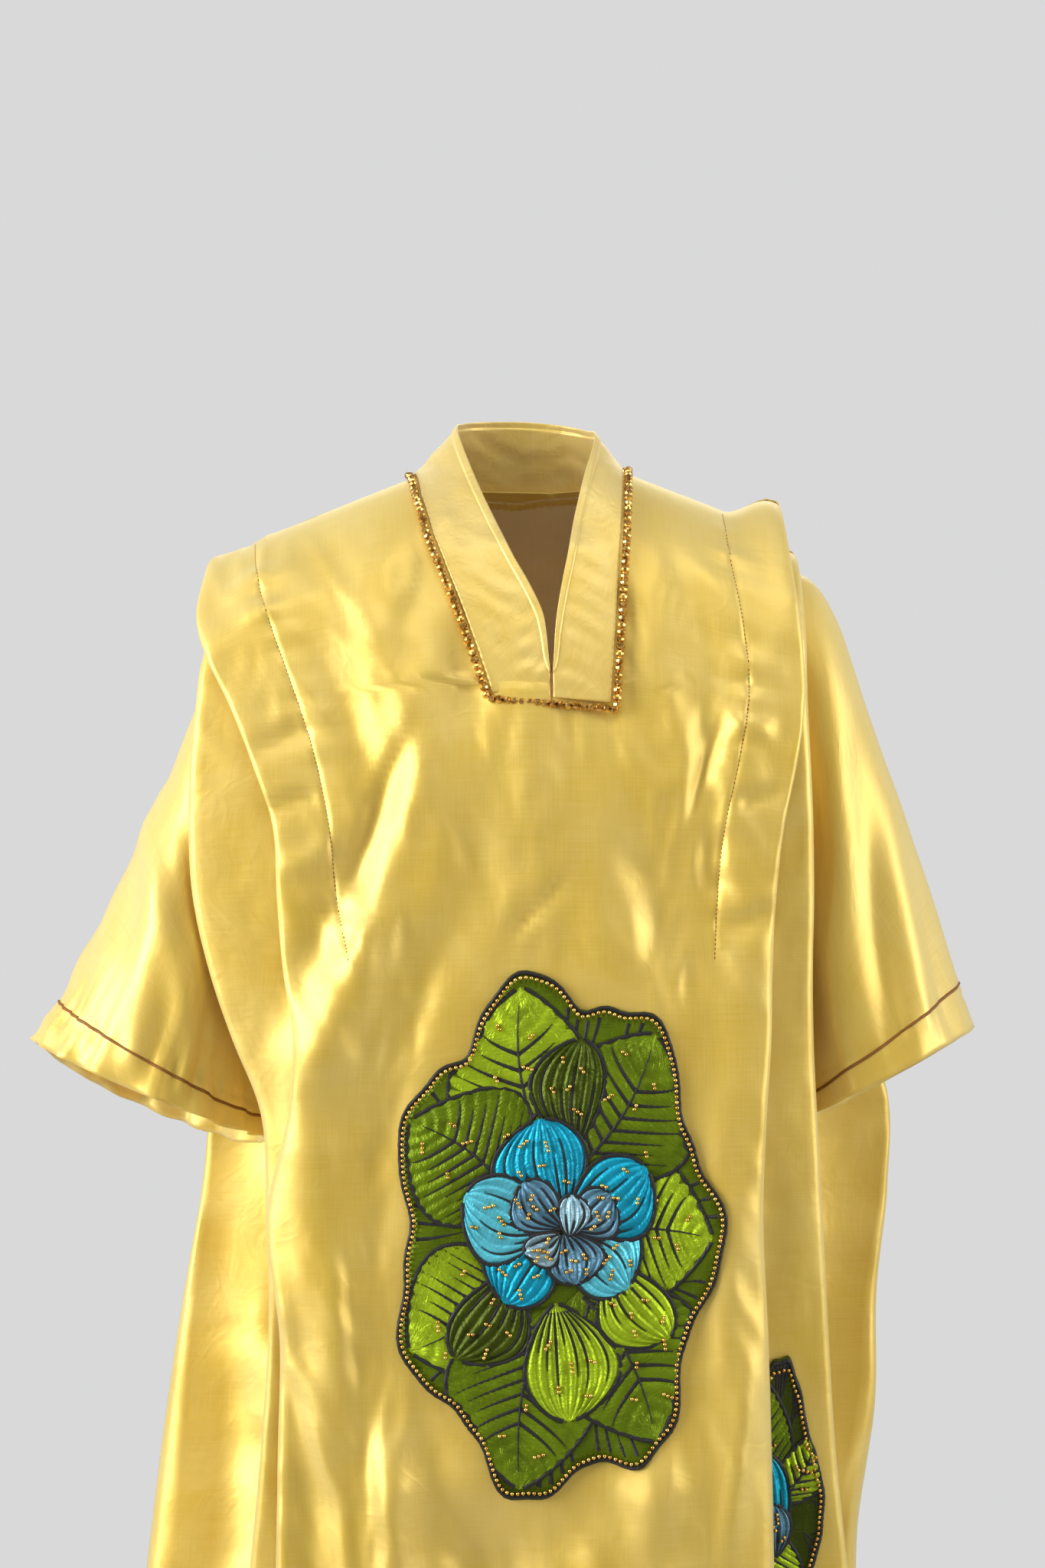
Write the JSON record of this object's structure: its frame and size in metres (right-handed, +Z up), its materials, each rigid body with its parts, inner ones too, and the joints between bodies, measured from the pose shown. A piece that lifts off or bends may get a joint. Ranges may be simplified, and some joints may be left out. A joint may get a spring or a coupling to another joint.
{
  "type": "kaftan",
  "caption": "Full-length sheer kaftan in its worn, hollow form, with a V neck yoke edged in beads, open shoulder tucks, bell elbow sleeves and satin flower patches.",
  "frame": {"origin": "where the shoulders hold the garment up, under the middle of the neck, level with the foot of the neck", "axes": "+Z up, +Y away from the viewer, through the back, +X to the viewer's right, which is the wearer's left"},
  "size_m": [0.8418, 0.4568, 1.4894],
  "materials": {
    "organza_body": "sheer satin organza, yellow gold",
    "organza_yoke": "two layers of the same organza, paler",
    "bead_gold": "faceted beads with a gold coat",
    "satin_patch": "satin flowers and leaves, green and turquoise, with black stitching"
  },
  "bodies": {
    "root": {"front": "organza_body", "back": "organza_body", "sleeve_left": "organza_body", "sleeve_right": "organza_body", "neck_yoke": "organza_yoke", "bead_trim": "bead_gold", "applique_front": "satin_patch", "applique_side_left": "satin_patch", "applique_side_right": "satin_patch"}
  },
  "joints": []
}
